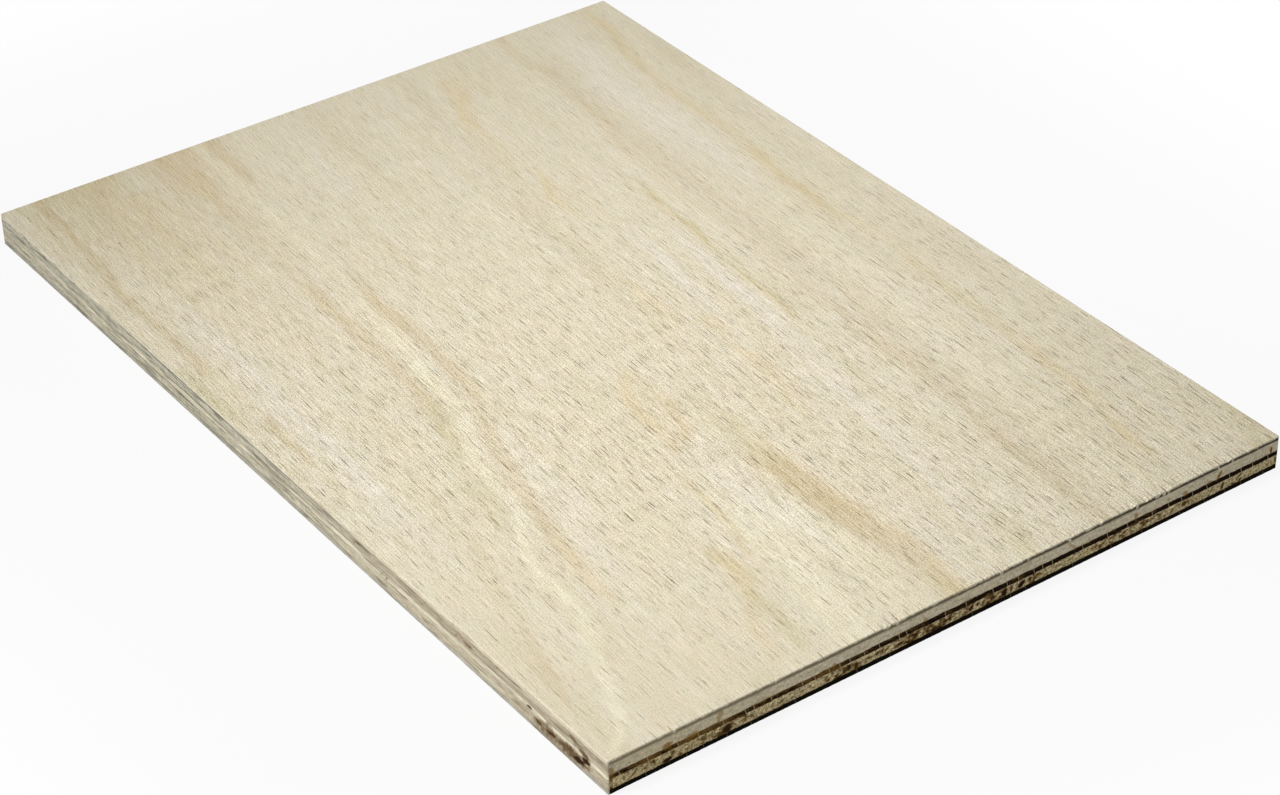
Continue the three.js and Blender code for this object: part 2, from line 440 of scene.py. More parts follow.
class Finish:
    """The finish of a piece: its material and the tree of nodes that makes it."""

    def __init__(self, name):
        self.material = bpy.data.materials.new(name)
        self.material.use_nodes = True
        self.tree = self.material.node_tree
        self.tree.nodes.clear()
        spot = self.node("TexCoord", output="Object")
        to_mm = {"Vector": spot, "Scale": 1 / MM}
        mm = self.node("VectorMath", {"operation": "SCALE"}, to_mm)
        self.x = self.node("SeparateXYZ", {}, {"Vector": mm}, "X")
        self.y = self.x.also("Y")
        self.z = self.x.also("Z")

    def node(self, kind, settings=None, sockets=None, output=0):
        """Adds a node: its settings first, then the values or wires of its sockets."""
        made = self.tree.nodes.new("ShaderNode" + kind)
        for name, value in (settings or {}).items():
            if name == "curves":
                self.bend(made, value)
            else:
                setattr(made, name, value)
        by_identifier = {socket.identifier: socket for socket in made.inputs}
        for name, value in (sockets or {}).items():
            socket = by_identifier.get(name) or made.inputs[name]
            if isinstance(value, Wire):
                self.tree.links.new(value.socket, socket)
            else:
                socket.default_value = value
        if not made.outputs:
            return None
        outputs = {socket.identifier: socket for socket in made.outputs}
        return Wire(self, outputs.get(output) or made.outputs[output])

    def bend(self, made, curves):
        """Sets the points of a curves node, one list of points for each of its curves."""
        for curve, points in zip(made.mapping.curves, curves):
            while len(curve.points) < len(points):
                curve.points.new(0, 0)
            for point, place in zip(curve.points, points):
                point.location = place
        made.mapping.update()

    def math(self, operation, *operands):
        """A Math node on wires and numbers."""
        sockets = dict(zip(("Value", "Value_001", "Value_002"), operands))
        return self.node("Math", {"operation": operation}, sockets)

    def spot(self, x, y, z=0.0):
        """A place from three wires or numbers."""
        return self.node("CombineXYZ", {}, {"X": x, "Y": y, "Z": z})

    def paint(self, name):
        """A value that the mesh carries."""
        return self.node("Attribute", {"attribute_name": name}, {}, "Fac")

    def cloud(self, x, y, z=0.0, detail=2.0, roughness=0.5):
        """Noise from -1 to 1, mostly within half of that, with lumps one unit across."""
        place = self.spot(x, y, z)
        sockets = {"Vector": place, "Scale": 1.0, "Detail": detail, "Roughness": roughness}
        return self.node("TexNoise", {}, sockets, "Fac") * 2 - 1

    def rise(self, value, low, high):
        """0 where the value is below low, 1 above high, and smooth between."""
        sockets = {"Value": value, "From Min": low, "From Max": high}
        return self.node("MapRange", {"interpolation_type": "SMOOTHSTEP"}, sockets)

    def mix(self, share, plain, covered, blend="MIX"):
        """One colour laid over another by a share."""
        settings = {"data_type": "RGBA", "blend_type": blend}
        sockets = {"Factor_Float": share}
        for name, colour in (("A_Color", plain), ("B_Color", covered)):
            sockets[name] = colour if isinstance(colour, Wire) else [*colour, 1]
        return self.node("Mix", settings, sockets, "Result_Color")

    def lit(self, colour, amount):
        """A colour made lighter or darker by a factor."""
        sockets = {"Vector": colour, "Scale": amount}
        return self.node("VectorMath", {"operation": "SCALE"}, sockets)

    def tinged(self, colour, change):
        """A colour made lighter or darker by a small share of itself, its blue the most."""
        factors = {"X": 1 + change * 0.95, "Y": 1 + change, "Z": 1 + change * 1.3}
        factors = self.node("CombineXYZ", {}, factors)
        return self.node("VectorMath", {"operation": "MULTIPLY"}, {0: colour, 1: factors})

    def wood(self, colour, roughness, shine, height, depth):
        """Puts the colour, the surface and a relief of this depth in millimetres on the piece."""
        relief = {"Height": height, "Distance": depth * MM, "Strength": 1.0}
        normal = self.node("Bump", {}, relief, "Normal")
        sockets = {"Base Color": colour, "Roughness": roughness, "Specular IOR Level": shine}
        sockets["Normal"] = normal
        surface = self.node("BsdfPrincipled", {}, sockets, "BSDF")
        self.node("OutputMaterial", {}, {"Surface": surface})
        return self.material


# ---- The beech face ----

# The tints of the face's figure at full strength, as factors on the plain colour.
PALE, CREAM, LILAC = (1.065, 1.08, 1.075), (1.05, 1.045, 1.045), (1.04, 1.05, 1.12)
OCHRE, RUSSET = (0.985, 0.957, 0.9), (0.955, 0.93, 0.89)
MAUVE, OLIVE = (0.965, 0.955, 0.945), (0.93, 0.926, 0.867)

# The figure band by band: tint, half width, then the band's line as (x, y, strength), X rising.
FIGURE = [
    # The bright vein that sweeps down to the front corner, and what runs beside it.
    (PALE, 1.7, [(-149, -41.5, 0.5), (-125, -43, 0.7), (-80, -45, 0.6), (-55, -46, 0.2), (-40, -48.5, 0.5),
        (-20, -51.5, 0.5), (-8, -53, 1), (12, -55, 1), (20, -58, 0.9), (30, -63, 0.7), (44, -66, 0.7),
        (58, -67.5, 0.9), (68, -74, 1.1), (80, -77.5, 1), (98, -78.5, 1), (110, -82.5, 0.9), (120, -87, 1),
        (132, -91, 1.1), (141, -96, 1.1), (147, -103, 0.9)]),
    (OLIVE, 3.4, [(-10, -57, 0), (4, -59.5, 0.8), (12, -61, 1.4), (24, -64.5, 1.3), (36, -70, 0.9),
        (52, -71.5, 1.3), (60, -74, 1), (68, -79, 0.5), (90, -84, 0.5), (112, -90, 1), (130, -97, 1.3),
        (146, -107, 1.2)]),
    (RUSSET, 5.5, [(-20, -60, 0), (10, -68, 0.4), (35, -74, 0.8), (55, -76.5, 0.9), (66, -81, 0.6),
        (84, -87, 0.5), (104, -93, 1), (125, -99, 1.4), (148, -106, 1.3)]),
    (RUSSET, 2.2, [(-149, -37, 1.3), (-140, -38, 1.7), (-122, -37.5, 1.6), (-108, -39.5, 0.6),
        (-84, -41, 0.9), (-66, -42, 0.8), (-55, -43, 1.2), (-44, -45, 1.5), (-30, -44.5, 1.5),
        (-8, -45.5, 1.3), (6, -48, 1.2), (18, -51.5, 1.1), (34, -57.5, 1.1), (56, -63, 1.3), (70, -66, 1.2),
        (84, -68, 0.6), (98, -70, 0)]),
    (OCHRE, 3, [(50, -63, 0), (72, -67, 1), (94, -70, 1.5), (106, -71, 1.1), (120, -75, 1.1),
        (136, -82, 0.9), (149, -88, 0.5)]),
    (CREAM, 3, [(-70, -49, 0), (-45, -50, 0.6), (-28, -50, 0.8), (-10, -50, 0.3), (0, -50, 0)]),
    (LILAC, 4, [(24, -52, 0), (40, -54, 0.3), (62, -54.5, 0.4), (80, -60, 0.3), (100, -63, 0)]),
    (RUSSET, 2.6, [(-149, -46.5, 1.6), (-138, -47.5, 1.2), (-124, -50.5, 1.1), (-100, -53.5, 0.8),
        (-80, -54, 0.7), (-62, -54.5, 1.2), (-52, -56, 1.5), (-36, -57, 1.5), (-14, -58, 1.3),
        (0, -60, 0.9), (14, -64, 0.5), (28, -68, 0)]),
    (RUSSET, 5, [(-149, -56, 1.4), (-136, -56, 1), (-118, -58, 0.5), (-98, -60, 0)]),
    (OCHRE, 4, [(-136, -67, 0), (-126, -70, 0.3), (-100, -72, 0.2), (-60, -75, 0.35), (-20, -76, 0)]),
    # The dark patch right of the middle, out to the +X end.
    (OLIVE, 3.6, [(36, -3, 0), (50, -3.5, 0.6), (66, -4, 0.8), (80, -4.5, 0.8), (100, -4.5, 0.6),
        (118, -3, 0.5), (149, -2, 0.5)]),
    (RUSSET, 4.6, [(66, -4, 0), (79, -4.5, 0.8), (88, -4, 1.5), (99, -4.2, 1.4), (108, -3, 1.4),
        (118, -3, 1.1), (127, -2, 0.5), (149, -2, 0.6)]),
    (OCHRE, 5.4, [(62, -4, 0), (74, -4, 0.5), (86, -3, 0.8), (112, -2, 0.8), (124, 1, 1), (136, 1.5, 1),
        (149, 0, 1.1)]),
    # The eye.
    (OCHRE, 1.9, [(18, -8, 0), (24, -7.5, 1.1), (34, -7.5, 1), (44, -10, 0.8), (52, -13, 0.9),
        (60, -15, 0)]),
    (OCHRE, 1.8, [(22, -11, 0), (28, -13.5, 0.7), (36, -17.8, 1), (45, -19, 1.1), (54, -19.5, 0.5),
        (62, -20.5, 1), (70, -21, 0)]),
    (OCHRE, 4.5, [(22, -13, 0), (38, -13.5, 0.5), (52, -15, 0.4), (62, -16, 0)]),
    # Light ground above and below the dark patch.
    (LILAC, 7, [(-44, 38, 0), (-26, 35, 0.8), (-12, 33.5, 1.2), (8, 33, 1.1), (22, 32, 1), (44, 29, 0.8),
        (62, 26.5, 0.9), (84, 24.5, 0.9), (102, 22, 0.9), (118, 20, 0.8), (134, 18, 0.4), (142, 18, 0)]),
    (LILAC, 2.8, [(-124, 44, 0), (-104, 44, 0.7), (-88, 42, 0.9), (-74, 42.3, 1.4), (-58, 41.5, 0.7),
        (-46, 40, 0)]),
    (LILAC, 6, [(-142, 81, 0.4), (-120, 79.5, 0.7), (-100, 76, 0.8), (-70, 75, 0.8), (-40, 76, 0.5),
        (-14, 78, 0)]),
    (LILAC, 4.4, [(56, -14, 0), (70, -16.5, 0.5), (92, -17.5, 0.7), (108, -17, 0.4), (120, -17, 0)]),
    (PALE, 4.4, [(88, -13, 0), (101, -14, 0.9), (116, -13, 0.9), (132, -13.5, 0.7), (149, -15, 0.6)]),
    (PALE, 5, [(66, -23, 0), (90, -24, 0.5), (116, -27, 0.9), (149, -32, 1)]),
    # Streaks over the upper half.
    (OLIVE, 1.3, [(-56, 49, 0), (-50, 48.4, 0.9), (-43, 48.3, 1.4), (-34, 46.8, 1.1), (-23, 46.7, 1.5),
        (-14, 44.6, 1.2), (-4, 42.8, 1.2), (8, 43.1, 1.1), (20, 43, 1.1), (29, 41.3, 0.9), (38, 40, 0.3),
        (56, 39, 0.7), (66, 38, 0)]),
    (OCHRE, 1, [(-56, 49, 0), (-47, 48, 0.9), (-32, 46.4, 0.8), (-20, 46, 1), (-6, 43, 0.5),
        (14, 42.4, 0.8), (28, 41, 0.5), (36, 40, 0)]),
    (OCHRE, 3.2, [(-138, 38, 0.4), (-128, 36.5, 1.4), (-119, 33, 1.6), (-110, 29.5, 1.4), (-97, 27, 0.8),
        (-80, 26.5, 1.1), (-70, 25.5, 1.5), (-58, 23.5, 1.4), (-48, 22.5, 0.9), (-37, 20, 1.1),
        (-26, 19, 0.9), (-14, 18.5, 1), (-3, 16, 1.1), (10, 15.5, 0.6), (18, 18, 0)]),
    (OCHRE, 2.6, [(14, 22, 0), (24, 22, 1.3), (36, 20.5, 1), (52, 19, 1.3), (62, 17.5, 0.8), (72, 16, 0)]),
    (MAUVE, 3, [(-149, 31, 0.5), (-138, 27, 0.8), (-128, 24.5, 1.1), (-112, 21.5, 0.8), (-92, 20.5, 0.7),
        (-74, 17.5, 0.7), (-50, 13.5, 0.7), (-28, 11.5, 0.6), (-8, 9, 0.4), (20, 9.5, 0.3), (50, 9, 0)]),
    (RUSSET, 2, [(-18, 6, 0), (-8, 4.5, 0.9), (0, 2.2, 0.8), (12, 1, 0.3), (30, 1, 0)]),
    (OLIVE, 1.2, [(54, 34.5, 0), (62, 34.5, 0.6), (76, 35, 0.2), (88, 36, 0.4), (97, 36, 1.1),
        (106, 34.5, 0.3), (124, 32, 0)]),
    (OCHRE, 2.2, [(-149, 95, 0.6), (-132, 95, 1.4), (-118, 91.5, 1.4), (-100, 88.6, 1), (-76, 87.2, 0.9),
        (-54, 86.8, 0.9), (-42, 85.4, 1.4), (-30, 83, 1.2), (-20, 83.5, 1.4), (-9, 83, 1), (4, 85, 0.8),
        (16, 86, 0.6), (30, 83.5, 0.8), (56, 82.8, 0.8), (72, 81.8, 0.9), (88, 80.5, 1), (104, 79.5, 0.9),
        (114, 77.5, 0.9), (123, 75, 1.2), (134, 73.8, 0.8), (149, 71, 0.9)]),
    (OLIVE, 1, [(-130, 94, 0.1), (-118, 91, 0.3), (-90, 88, 0.1), (-40, 84.6, 0.4), (-20, 83, 0.8),
        (4, 84, 0.2), (60, 82, 0.3), (90, 80, 0.4), (122, 74.6, 0.5), (149, 70.6, 0.3)]),
    (MAUVE, 3.5, [(-124, 103, 0), (-106, 101, 0.9), (-84, 99, 0.7), (-58, 96.6, 0.8), (-30, 95, 0.7),
        (-8, 95, 0.5), (20, 98, 0.7), (38, 96, 0.7), (56, 93, 0)]),
    (MAUVE, 4.4, [(-130, 69, 0.3), (-104, 66, 0.9), (-70, 63.5, 1), (-34, 61.5, 1.1), (0, 60, 1.1),
        (30, 56.5, 0.9), (60, 54, 1), (92, 51.5, 1), (120, 49, 1.1), (149, 47, 1.1)]),
    (RUSSET, 1.8, [(-149, 66, 1), (-140, 63.5, 0.9), (-130, 62.6, 0.8), (-121, 65.6, 1.3), (-113, 65, 0.4),
        (-100, 62.5, 0.8), (-86, 61, 0.8), (-76, 57.4, 0.9), (-62, 56, 0.4), (-44, 54.5, 0.4),
        (-10, 54.6, 0.3), (24, 52.8, 0.5), (60, 51.4, 0.8), (88, 50.4, 0.6), (108, 47.4, 0.8),
        (130, 46.4, 0.6), (149, 45, 0.9)]),
    (CREAM, 5, [(-20, 70, 0), (10, 69, 0.5), (40, 67, 0.6), (70, 66, 0.7), (100, 64, 0.6), (149, 61, 0.5)]),
    # The left end, and its darker front corner.
    (OLIVE, 20, [(-149, -84, 1.2), (-134, -84, 0.9), (-112, -86, 0.5), (-80, -88, 0.2), (-50, -88, 0)]),
    (MAUVE, 34, [(-149, -76, 0.8), (-120, -78, 0.6), (-90, -80, 0.3), (-60, -80, 0)]),
    (OCHRE, 24, [(-149, -62, 1), (-130, -66, 0.8), (-96, -72, 0.5), (-60, -74, 0.2), (-30, -74, 0)]),
    (RUSSET, 1.6, [(-98, -23, 0), (-80, -25, 0.6), (-62, -26.4, 0.7), (-50, -27, 0)]),
    (RUSSET, 2, [(-94, 1.4, 0), (-74, 0.4, 0.5), (-50, -0.6, 0.5), (-34, -2, 0)]),
    (MAUVE, 5, [(-149, -4, 0.6), (-132, -6, 0.6), (-112, -6, 0.3), (-96, -6, 0)]),
    # The right end.
    (OCHRE, 1.2, [(68, -26, 0), (84, -27.6, 0.9), (100, -31, 0.7), (112, -35, 0.6), (120, -38, 0)]),
    (OLIVE, 2, [(96, -38, 0), (105, -40, 0.7), (112, -37.5, 0.7), (119, -41, 0.8), (127, -41.5, 1.1),
        (136, -42.5, 0.8), (144, -44, 0)]),
    (OCHRE, 2.8, [(98, -39, 0), (108, -39, 1.5), (118, -42, 1.2), (126, -47, 1.3), (134, -50, 1.4),
        (149, -55, 0.8)]),
    (MAUVE, 4.4, [(40, -33, 0), (60, -38, 0.5), (78, -41, 0.7), (96, -43, 0.3), (110, -46, 0)]),
    (OLIVE, 3.2, [(128, 25.5, 0), (138, 24.5, 0.7), (149, 23.5, 1)]),
    (OLIVE, 5, [(112, -58, 0), (126, -60, 0.3), (149, -60, 0.8)]),
    (OLIVE, 4, [(118, 106, 0), (134, 104, 0.8), (149, 100, 1)]),
    # Along the front edge.
    (RUSSET, 1.5, [(-149, -93, 2), (-140, -94, 2), (-128, -94.3, 1.6), (-121, -95, 1.8), (-110, -95.6, 1.1),
        (-98, -97, 1.6), (-84, -98.4, 1.3), (-66, -98.5, 1.1), (-52, -98, 1.6), (-40, -99, 0.6),
        (-30, -99, 0), (-18, -96.6, 0), (-10, -97.4, 1.5), (2, -97.6, 1.3), (12, -98, 0)]),
    (LILAC, 3.4, [(-118, -89, 0), (-98, -90.6, 0.8), (-66, -90, 0.7), (-30, -91.5, 0.8), (4, -92, 0.8),
        (34, -92, 0.7), (60, -93, 0.3), (80, -95, 0)]),
    (OLIVE, 2.2, [(-50, -104, 0), (-40, -104, 1.5), (-26, -103.8, 1.5), (-14, -104, 0.2), (0, -104, 0)]),
]
# The curves of a band cover the places from minus this to plus this.
FIGURE_SPAN = 160.0
# How far off the sheet's length the fibres and flecks of the face lie.
FACE_SLOPE = math.radians(1.9)


def band(finish, ahead, across, half_width, line):
    """A soft stripe that follows a line of (x, y, strength) along the grain.

    A curves node holds the line: its first curve gives the stripe's y against x, and its second
    the strength, with both axes squeezed into the range from 0 to 1.
    """
    centres = [(squeezed(x), squeezed(y)) for x, y, strength in line]
    strengths = [(squeezed(x), strength / 2) for x, y, strength in line]
    held = finish.node("RGBCurve", {"curves": [centres, strengths]}, {"Color": ahead})
    centre = finish.node("SeparateColor", {}, {"Color": held}, "Red")
    reach = half_width / (2 * FIGURE_SPAN)
    return finish.rise(abs(across - centre), 1.6 * reach, 0.35 * reach), centre.also("Green")


def squeezed(value):
    """A place on the face in millimetres, brought into the range from 0 to 1."""
    return (value + FIGURE_SPAN) / (2 * FIGURE_SPAN)


def flecks(finish, x, y, pitch, longest, widest, share, seed):
    """Dark dashes along the grain, one to a cell, tapered at both ends: the rays of beech.

    Longest and widest are a dash's half sizes, and share is how many of the cells hold one.
    """
    pitch_x, pitch_y = pitch
    cell = {"Vector": finish.spot(x / pitch_x + seed, y / pitch_y), "Scale": 1.0}
    settings = {"voronoi_dimensions": "2D", "feature": "F1"}
    tint = finish.node("TexVoronoi", settings, cell, "Color")
    place = finish.node("SeparateXYZ", {}, {"Vector": tint.also("Position")}, "X")
    chance = finish.node("SeparateColor", {}, {"Color": tint}, "Red")
    along = (x / pitch_x + seed - place) * pitch_x
    across = (y / pitch_y - place.also("Y")) * pitch_y
    length = (0.3 + 0.7 * chance.also("Green")) * longest
    body = 1 - (along / length) ** 2 - abs(across) / widest
    kept = finish.rise(share - chance, 0.0, 0.15) * (0.4 + 0.6 * chance.also("Blue"))
    return finish.rise(body, 0.0, 0.5) * kept


def figured(finish, colour, x, y):
    """Lays the bands of the figure over the plain colour of the face."""
    wander = finish.cloud(x / 16, y / 3, 6.0, 3.0) * 1.3
    broken = 1.1 + finish.cloud(x / 16, y / 1.6, 14.0, 1.0) * 0.8
    ahead, across = squeezed(x), squeezed(y + wander)
    for tint in (OLIVE, RUSSET, MAUVE, OCHRE, LILAC, CREAM, PALE):
        total = 0.0
        for band_tint, half_width, line in FIGURE:
            if band_tint is tint:
                body, strength = band(finish, ahead, across, half_width, line)
                total = finish.math("MULTIPLY_ADD", body, strength, total)
        # The strengths come out halved, and the tint is laid on at up to twice its full strength.
        colour = finish.mix(total * broken, colour, [2 * factor - 1 for factor in tint], "MULTIPLY")
    return colour


def beech_flat(finish):
    """Sanded beech: cream, with its growth figure, fine fibres and three sizes of dark ray flecks.

    Gives its colour and its relief.
    """
    x, y, cloud, rise, mix = finish.x, finish.y, finish.cloud, finish.rise, finish.mix
    sway = cloud(x / 90, y / 50, 3.0, 0.0) * 1.6
    leftward = finish.math("MINIMUM", x + 60, 0.0)
    lay = y + x * math.tan(FACE_SLOPE) - leftward * leftward * 0.0004 + sway

    broad = cloud(x / 80, lay / 7, 1.0, 3.0)
    narrow = cloud(x / 45, lay / 2, 5.0, 1.0)
    warmth = cloud(x / 24, lay / 4, 9.0, 3.0)
    fibre = cloud(x / 3.5, lay / 0.19, 2.0, 1.0, 0.5)
    thread = cloud(x / 8, lay / 0.38, 4.0, 0.0)
    speck = cloud(x / 0.5, lay / 0.28, 7.0, 0.0)

    # Flecks and fibres fade towards the -X end, at the front corner, and along the middle of the back
    # edge. The flecks stand out more towards the +X end, and the fibres a little less.
    far = rise(y * 0.5 - x, -60.0, 190.0)
    plain_here = far * 0.6 + rise(x - y, 110.0, 240.0) * 0.5
    calm = rise(y, 10.0, 75.0) * rise(x, -120.0, -30.0) * rise(x, 140.0, 80.0)
    quiet = rise(x - y, 90.0, 150.0)
    contrast = (1 - plain_here) * (1 - calm * 0.22 - quiet * 0.16)
    rightward = rise(x + y * 0.4, -100.0, 110.0)

    gathered = cloud(x / 20, lay / 2.5, 12.0, 1.0) * 0.28 - plain_here * 0.2
    dark = flecks(finish, x, lay, (9, 2.2), 4.4, 0.11, 0.5 + gathered, 3.7)
    middling = flecks(finish, x, lay, (7, 1.2), 3.2, 0.09, 0.6 + gathered, 41.3)
    small = flecks(finish, x, lay, (4, 0.7), 1.8, 0.08, 0.8, 17.9)
    marks = (dark * 1.25 + middling * 1.05 + small * 0.45) * contrast * (0.82 + rightward * 0.4)

    depth = 0.5 + broad * 0.4 + narrow * 0.25
    colour = mix(depth, display(239, 232, 213), display(223, 214, 183))
    colour = mix(0.5 + warmth, colour, (1.035, 1.01, 0.955), "MULTIPLY")
    blush = cloud(x / 14, lay / 2.2, 27.0, 1.0)
    colour = mix(0.5 + blush * 1.4, colour, (1.012, 0.99, 1.004), "MULTIPLY")
    colour = figured(finish, colour, x, y)
    texture = (fibre * 0.27 + thread * 0.3 + speck * 0.58) * contrast * (1.04 - rightward * 0.07)
    colour = finish.tinged(colour, texture - 0.012)
    colour = mix(finish.math("MINIMUM", marks, 0.9), colour, display(102, 76, 30))
    return colour, thread * 0.4 - marks


# ---- The sawn edges ----


class Edge(Finish):
    """The finish of a ply, with where on its edge a point is and the marks of sawn wood."""

    def __init__(self, name):
        super().__init__(name)
        self.end, self.cut = self.paint("end"), self.paint("cut")
        self.level, self.stain = self.paint("level"), self.paint("stain")
        self.along = self.y * self.end + self.x * (1 - self.end)

    def long_grain(self, seed, contrast):
        """Wood sawn along its grain: long fine streaks. Gives a shade about 1 and a relief."""
        streak = self.cloud(self.along / 14, self.z / 0.5, seed, 3.0, 0.7)
        slip = self.cloud(self.along / 3, self.z / 0.7, seed + 4, 2.0)
        return 1 + (streak * 1.3 + slip * 1.1) * contrast, streak

    def end_grain(self, seed, contrast):
        """Wood sawn across its grain: pores and blotches. Gives a shade about 1 and a relief."""
        pores = self.cloud(self.along / 0.4, self.z / 0.25, seed, 2.0, 0.7)
        blotch = self.cloud(self.along / 3, self.z / 0.6, seed + 4, 3.0, 0.6)
        return 1 + (pores * 0.6 + blotch) * contrast, pores

    def hairlines(self, along, z, pitch, half_width, share, seed):
        """Thin lines across a ply, leaning a little, about one to a pitch."""
        place = (along + z * 0.28) / pitch + self.cloud(along / 3, z / 2.5, seed) * 0.04
        settings = {"voronoi_dimensions": "1D", "feature": "F1"}
        found = self.node("TexVoronoi", settings, {"W": place + seed, "Scale": 1.0}, "Distance")
        chance = self.node("SeparateColor", {}, {"Color": found.also("Color")}, "Red")
        line = self.rise(found * pitch, half_width, half_width * 0.3)
        return line * self.rise(chance, share, share - 0.1)

    def core_rays(self):
        """The pale hairlines that cross the core on the ends, and run a little way out of it."""
        return self.hairlines(self.along, self.z, 4.2, 0.16, 0.8, 5.0)

    def drawn_lines(self, seed):
        """Dark lines that run along a side, waver a little, and come and go."""
        line = self.cloud(self.x / 26, self.z / 1.1, seed + 1, 1.0)
        there = self.cloud(self.x / 10, self.z / 1.5, seed + 2, 1.0) - abs(self.x + 35) * 0.002
        return self.rise(abs(line), 0.16, 0.05) * self.rise(there, -0.35, 0.15)

    def glue_shade(self, seed):
        """A thin dark line at a ply's glue lines, that comes and goes along the edge.

        It is surest along the middle of the sides.
        """
        near = self.rise(abs(self.level - 0.5), 0.36, 0.47)
        there = self.cloud(self.along / 12, self.level / 3, seed, 2.0)
        sure = (1 - self.end) * self.rise(abs(self.x + 25), 90.0, 30.0)
        return near * self.rise(there + sure * 0.4, -0.15, 0.35) * (0.4 + sure * 0.35)

    def sawn_relief(self, side, ends, flat):
        """The relief of the edge, from its sides and ends, and of the flat beside it."""
        return flat * (1 - self.cut) + (side * (1 - self.end) + ends * self.end) * self.cut

    def sawn(self, side, ends, glue=None):
        """The whole edge's colour, from its sides and ends: glue lines and stains are laid over them.

        Glue is a seed and a colour for the shade at the glue lines. The stains are brown where they
        are faint and nearly black where they are strong.
        """
        colour = self.mix(self.end, side, ends)
        if glue:
            colour = self.mix(self.glue_shade(glue[0]), colour, glue[1])
        # Above the core of an end they stay a yellow brown.
        high = self.end * self.rise(self.z, 4.0, 5.5)
        brown = self.mix(high, display(112, 86, 44), display(156, 116, 48))
        colour = self.mix(self.stain * 1.4, colour, brown)
        strong = self.rise(self.stain - high * 0.12, 0.4, 0.95) * 0.95
        return self.mix(strong, colour, display(42, 22, 11))


def face_veneer():
    """The face: sanded on top, end grain on the ends and long grain on the sides."""
    edge = Edge("beech_face")
    flat, relief = beech_flat(edge)
    long_shade, streak = edge.long_grain(31.0, 0.4)
    end_shade, pores = edge.end_grain(37.0, 0.35)
    side = edge.mix(edge.rise(edge.x, -20.0, 60.0), display(236, 227, 201), display(222, 211, 184))
    side = edge.mix(edge.drawn_lines(34.0) * 0.4, edge.lit(side, long_shade), display(116, 106, 86))
    # The arris is rubbed grey in streaks towards the -X end.
    rubbed = edge.rise(edge.cloud(edge.x / 4, edge.z / 0.6, 35.0, 2.0), -0.1, 0.3)
    side = edge.mix(rubbed * edge.rise(edge.x, -95.0, -135.0) * 0.75, side, display(136, 136, 126))
    # The ends are darker towards the back, and lighter low down.
    ends = edge.mix(edge.rise(edge.y, -105.0, 105.0), display(150, 139, 108), display(71, 67, 50))
    ends = edge.mix(edge.rise(edge.level, 0.3, 0.0), ends, display(186, 174, 146))
    sawn = edge.sawn(side, edge.lit(ends, end_shade), (3.0, display(96, 84, 66)))
    colour = edge.mix(edge.cut, flat, sawn)
    height = edge.sawn_relief(streak, pores, relief)
    return edge.wood(colour, 0.6 + 0.25 * edge.cut, 0.3, height, 0.03)


def crossband(name, seed, side_colours, end_colour, burnt_share):
    """A crossband: long grain on the ends of the sheet, end grain along its sides.

    The sides go from one colour to another along the sheet.
    """
    edge = Edge(name)
    along, x, y, z = edge.along, edge.x, edge.y, edge.z
    cloud, rise, mix = edge.cloud, edge.rise, edge.mix
    long_shade, streak = edge.long_grain(seed, 0.24)
    end_shade, pores = edge.end_grain(seed + 9, 0.8)

    # The ends are scorched by the saw in patches: brown first, and nearly black at their hearts. They
    # are fewer towards the corners, and in a stretch before the back one.
    patch = cloud(along / 2.4, z / 1.3, seed + 2, 4.0, 0.6)
    patch = patch + cloud(along / 14, z / 9, seed + 7, 1.0) * 0.7
    patch = patch - abs(y) * 0.0016
    patch = patch - rise(y, 30.0, 48.0) * rise(y, 84.0, 70.0) * 0.13
    ends = edge.lit(end_colour, long_shade)
    ends = mix(rise(patch, -0.15, 0.12) * burnt_share, ends, display(124, 92, 40))
    ends = mix(rise(patch, 0.08, 0.28) * burnt_share, ends, display(44, 26, 10))
    mottle = cloud(along / 1.1, z / 0.7, seed + 12, 3.0, 0.7)
    ends = mix(rise(mottle, 0.05, 0.25) * burnt_share * 0.85, ends, display(104, 80, 20))
    ends = mix(rise(mottle, -0.14, -0.34) * burnt_share, ends, display(60, 32, 14))
    fine = cloud(along / 0.7, z / 0.9, seed + 14, 1.0)
    ends = edge.lit(ends, 1.04 + fine * (0.35 + 0.7 * burnt_share))
    # A little darker and yellower towards the front corner.
    ends = mix(rise(y, -35.0, -90.0), ends, (0.945, 0.935, 0.885), "MULTIPLY")
    # Pale splinters that run out of the core.
    splinters = edge.core_rays() * rise(abs(z - core_middle), 2.4, 0.8)
    ends = mix(splinters * 0.6, ends, display(214, 200, 164))

    side = mix(rise(x, -20.0, 80.0), *side_colours)
    pale = rise(cloud(x / 22, z / 1.4, seed + 21, 1.0), 0.0, 0.3)
    side = mix(pale * 0.55, edge.lit(side, end_shade * 1.08), display(222, 214, 190))
    # Fissures along the side, then its drawn lines, then cracks across it.
    height = z * 3 + cloud(along / 18, z / 3, seed) * 4
    fissures = edge.hairlines(height, along / 60, 2.2, 0.07, 0.6, seed)
    side = mix(fissures * 0.4, side, display(110, 102, 88))
    side = mix(edge.drawn_lines(seed) * 0.6, side, display(92, 88, 76))
    cracks = edge.hairlines(x, z, 3.6, 0.26, 0.6, seed) * rise(x, 70.0, 10.0)
    side = mix(cracks * 0.32, side, display(96, 90, 78))

    sawn = edge.sawn(side, ends, (seed + 5, display(86, 72, 52)))
    return edge.wood(sawn, 0.85, 0.1, streak * edge.end + pores * (1 - edge.end), 0.04)


